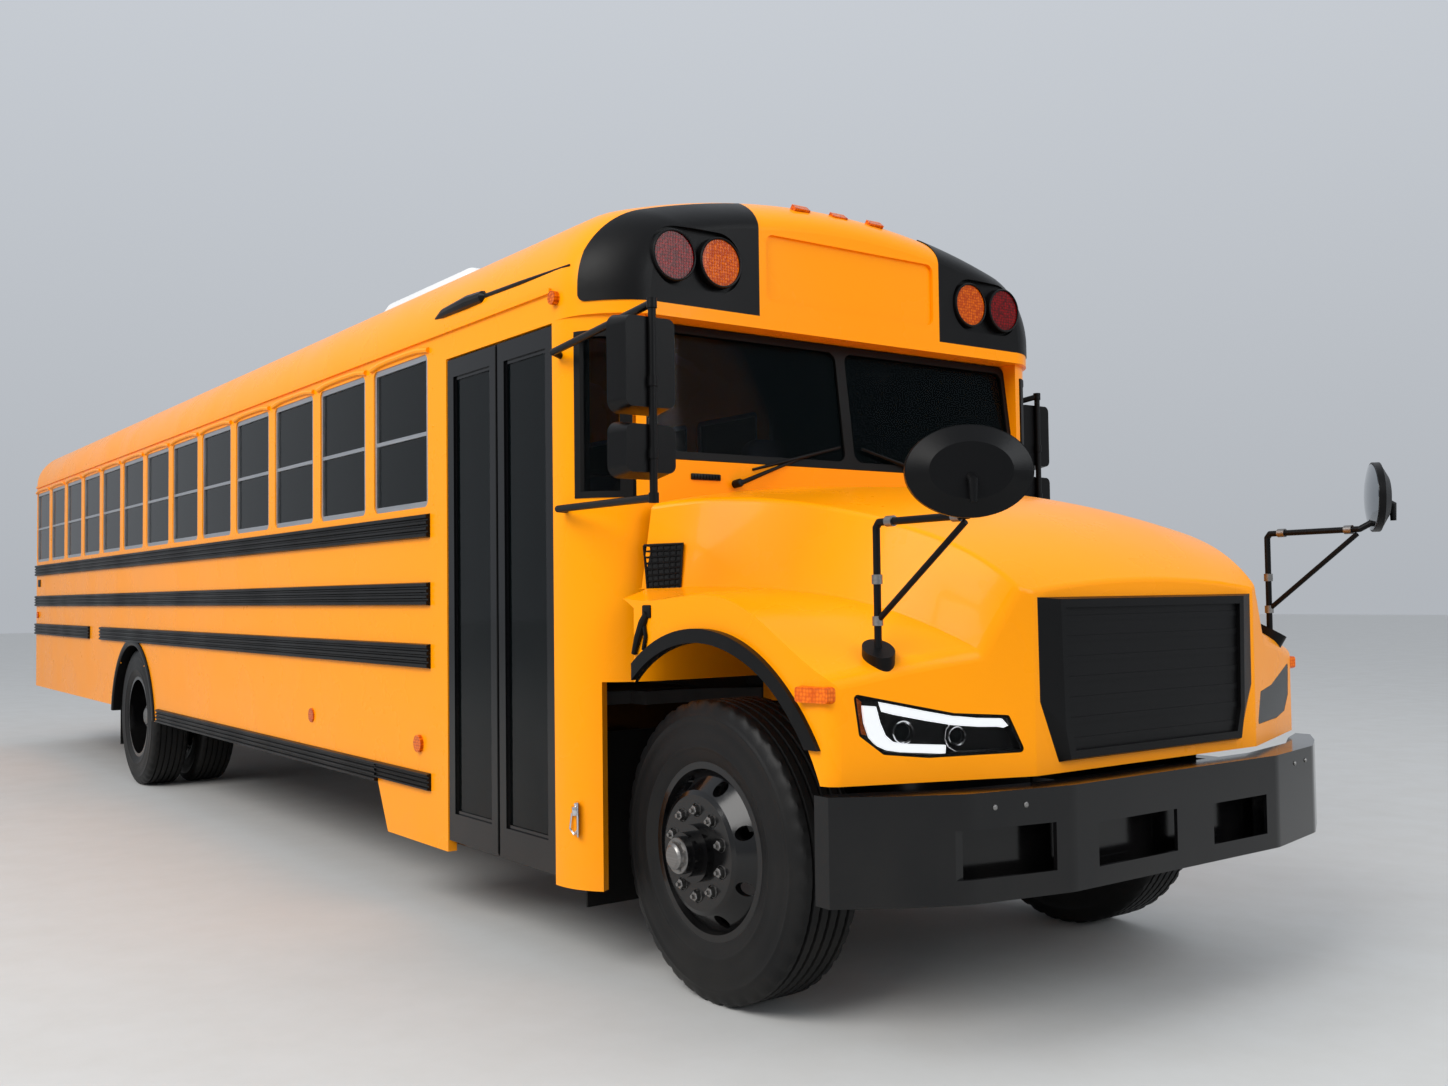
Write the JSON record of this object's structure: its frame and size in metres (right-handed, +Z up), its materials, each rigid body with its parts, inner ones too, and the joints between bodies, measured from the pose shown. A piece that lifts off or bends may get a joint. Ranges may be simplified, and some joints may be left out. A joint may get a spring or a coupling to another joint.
{
  "type": "long-nose school bus",
  "caption": "Long-nose school bus with a walk-in passenger body, tilting hood, two-leaf entrance door and rear emergency door.",
  "frame": {"origin": "on the ground under the middle of the vehicle", "axes": "+X forward, +Y to the driver's left, +Z up"},
  "size_m": [12.6001, 2.899, 3.1649],
  "materials": {
    "yellow_paint": "gloss school-bus yellow",
    "black_paint": "satin black",
    "black_plastic": "black moulded",
    "trim_rubber": "matt black",
    "clear_lens": "clear",
    "amber_lens": "amber lens",
    "exhaust_steel": "dull",
    "engine_grey": "dull",
    "tinted_glass": "tinted",
    "frame_aluminium": "satin",
    "lamp_lens": "lens",
    "seat_vinyl": "vinyl",
    "floor_rubber": "ribbed mat",
    "dash_plastic": "grained",
    "unit_white": "white",
    "stop_red": "reflective red",
    "tyre": "rubber",
    "wheel_black": "gloss black"
  },
  "bodies": {
    "bus_body": {"chassis_frame": "black_paint", "engine_block": "engine_grey", "fuel_tank": "black_paint", "front_axle": "black_paint", "rear_axle": "black_paint", "leaf_springs": "black_paint", "floor": "floor_rubber", "entry_steps": "black_paint", "rear_wheelhouses": "black_paint", "right_side": "yellow_paint", "left_side": "yellow_paint", "rear_wall": "yellow_paint", "roof": "yellow_paint", "front_cowl": "yellow_paint", "front_cap": "yellow_paint", "lamp_housings": "black_plastic", "body_lamps": "lamp_lens", "body_glass": "tinted_glass", "window_frames": "frame_aluminium", "rub_rails": "black_plastic", "front_bumper": "black_paint", "rear_bumper": "black_paint", "passenger_seats": "seat_vinyl", "driver_seat": "seat_vinyl", "dashboard": "dash_plastic", "side_mirrors": "black_plastic", "stop_arm_bracket": "black_paint", "front_roof_unit": "unit_white", "rear_roof_unit": "unit_white", "screen_gasket": "trim_rubber", "drive_shaft": "black_paint", "exhaust": "exhaust_steel", "mud_flaps": "trim_rubber"},
    "hood": {"hood": "yellow_paint", "grille": "black_plastic", "crossover_mirrors": "black_plastic", "fender_flares": "black_plastic", "headlamps": "black_plastic", "headlamp_lenses": "clear_lens", "fender_lamps": "amber_lens"},
    "door_rear_leaf": {"door_leaf_rear": "black_paint", "door_glass_rear": "tinted_glass"},
    "door_front_leaf": {"door_leaf_front": "black_paint", "door_glass_front": "tinted_glass"},
    "rear_door": {"rear_door": "yellow_paint", "rear_door_glass": "tinted_glass"},
    "stop_arm": {"stop_arm": "stop_red"},
    "knuckle_right": {"steering_knuckle_right": "black_paint"},
    "front_wheel_right": {"front_wheel_right": "wheel_black", "front_tyre_right": "tyre"},
    "rear_wheels_right": {"rear_wheels_right": "wheel_black", "rear_tyres_right": "tyre"},
    "knuckle_left": {"steering_knuckle_left": "black_paint"},
    "front_wheel_left": {"front_wheel_left": "wheel_black", "front_tyre_left": "tyre"},
    "rear_wheels_left": {"rear_wheels_left": "wheel_black", "rear_tyres_left": "tyre"}
  },
  "joints": [
    {"name": "hood_tilt", "type": "hinge", "parent": "bus_body", "child": "hood", "pos_m": [6.06, 0, 0.835], "axis": [0, 1, 0], "range_deg": [0, 60]},
    {"name": "door_front_leaf_swing", "type": "hinge", "parent": "bus_body", "child": "door_front_leaf", "pos_m": [4.259, -1.215, 1.35], "axis": [0, 0, 1], "range_deg": [0, 85]},
    {"name": "door_rear_leaf_swing", "type": "hinge", "parent": "bus_body", "child": "door_rear_leaf", "pos_m": [3.362, -1.215, 1.35], "axis": [0, 0, 1], "range_deg": [-85, 0]},
    {"name": "rear_door_swing", "type": "hinge", "parent": "bus_body", "child": "rear_door", "pos_m": [-6.17, -0.368, 1.7], "axis": [0, 0, 1], "range_deg": [0, 100]},
    {"name": "stop_arm_swing", "type": "hinge", "parent": "bus_body", "child": "stop_arm", "pos_m": [3.71, 1.279, 1.465], "axis": [0, 0, -1], "range_deg": [0, 90]},
    {"name": "steer_right", "type": "hinge", "parent": "bus_body", "child": "knuckle_right", "pos_m": [4.945, -0.83, 0.508], "axis": [0, 0, 1], "range_deg": [-38, 38]},
    {"name": "front_roll_right", "type": "hinge", "parent": "knuckle_right", "child": "front_wheel_right", "pos_m": [4.945, -0.898, 0.508], "axis": [0, 1, 0], "continuous": true},
    {"name": "rear_roll_right", "type": "hinge", "parent": "bus_body", "child": "rear_wheels_right", "pos_m": [-2.165, -0.894, 0.508], "axis": [0, 1, 0], "continuous": true},
    {"name": "steer_left", "type": "hinge", "parent": "bus_body", "child": "knuckle_left", "pos_m": [4.945, 0.83, 0.508], "axis": [0, 0, 1], "range_deg": [-38, 38]},
    {"name": "front_roll_left", "type": "hinge", "parent": "knuckle_left", "child": "front_wheel_left", "pos_m": [4.945, 0.898, 0.508], "axis": [0, 1, 0], "continuous": true},
    {"name": "rear_roll_left", "type": "hinge", "parent": "bus_body", "child": "rear_wheels_left", "pos_m": [-2.165, 0.894, 0.508], "axis": [0, 1, 0], "continuous": true}
  ],
  "couplings": [
    {"joint": "steer_left", "follows": "steer_right", "ratio": 1},
    {"joint": "door_rear_leaf_swing", "follows": "door_front_leaf_swing", "ratio": -1}
  ]
}
